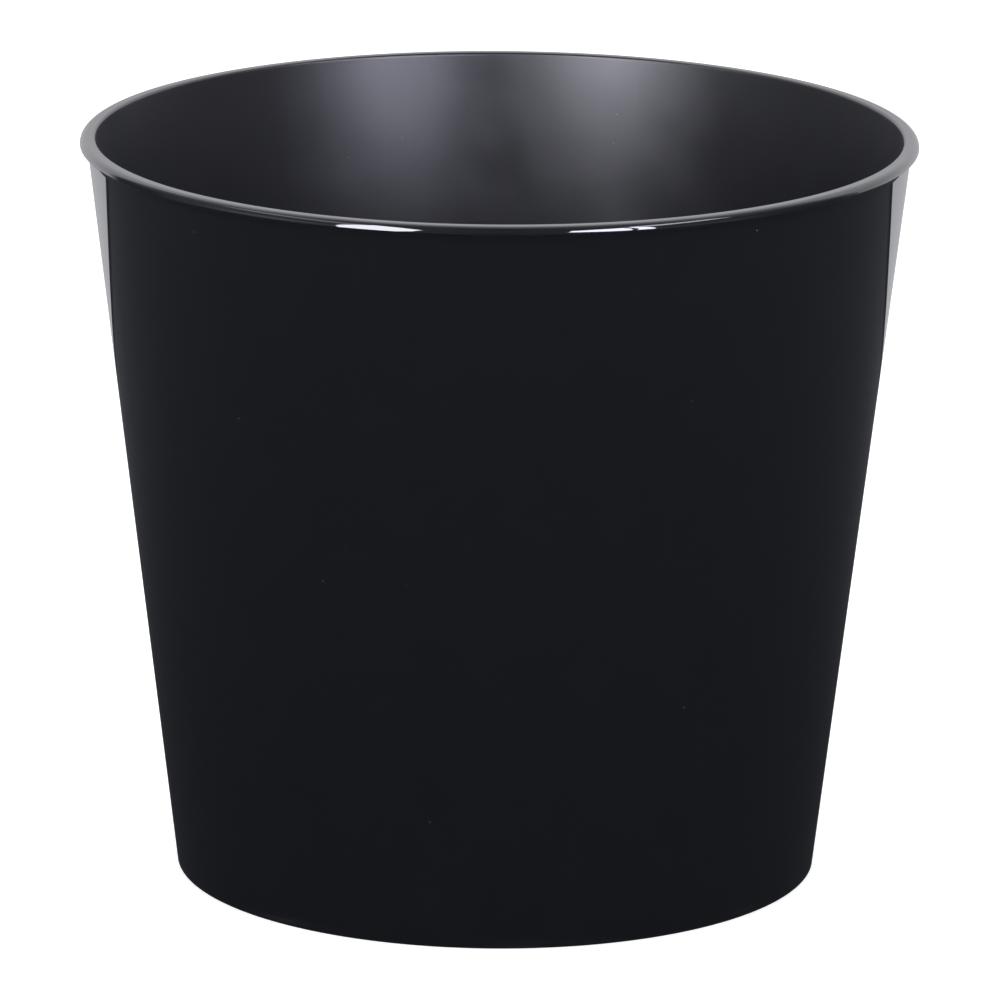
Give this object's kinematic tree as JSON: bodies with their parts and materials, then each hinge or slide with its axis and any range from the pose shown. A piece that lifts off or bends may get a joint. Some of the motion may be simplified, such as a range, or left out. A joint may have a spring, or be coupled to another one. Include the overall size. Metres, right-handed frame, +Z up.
{
  "type": "florist bucket",
  "caption": "Round tapered florist bucket in glossy black plastic, with a small turned-out lip, a satin inside, nesting stops and a foot ring under a raised floor.",
  "frame": {"origin": "centre of the foot ring's resting plane, on the bucket's axis", "axes": "+Z is up along the bucket's axis; the bucket is round, and one nesting stop lies on +X"},
  "size_m": [0.2, 0.2, 0.179],
  "materials": {
    "outer_gloss": "polished",
    "inner_satin": "satin"
  },
  "bodies": {
    "root": {"rim_lip": "outer_gloss", "side_wall": "outer_gloss", "base_corner": "inner_satin", "floor_panel": "inner_satin", "foot_ring": "outer_gloss", "nesting_stops": "inner_satin", "gate_stub": "inner_satin"}
  },
  "joints": []
}
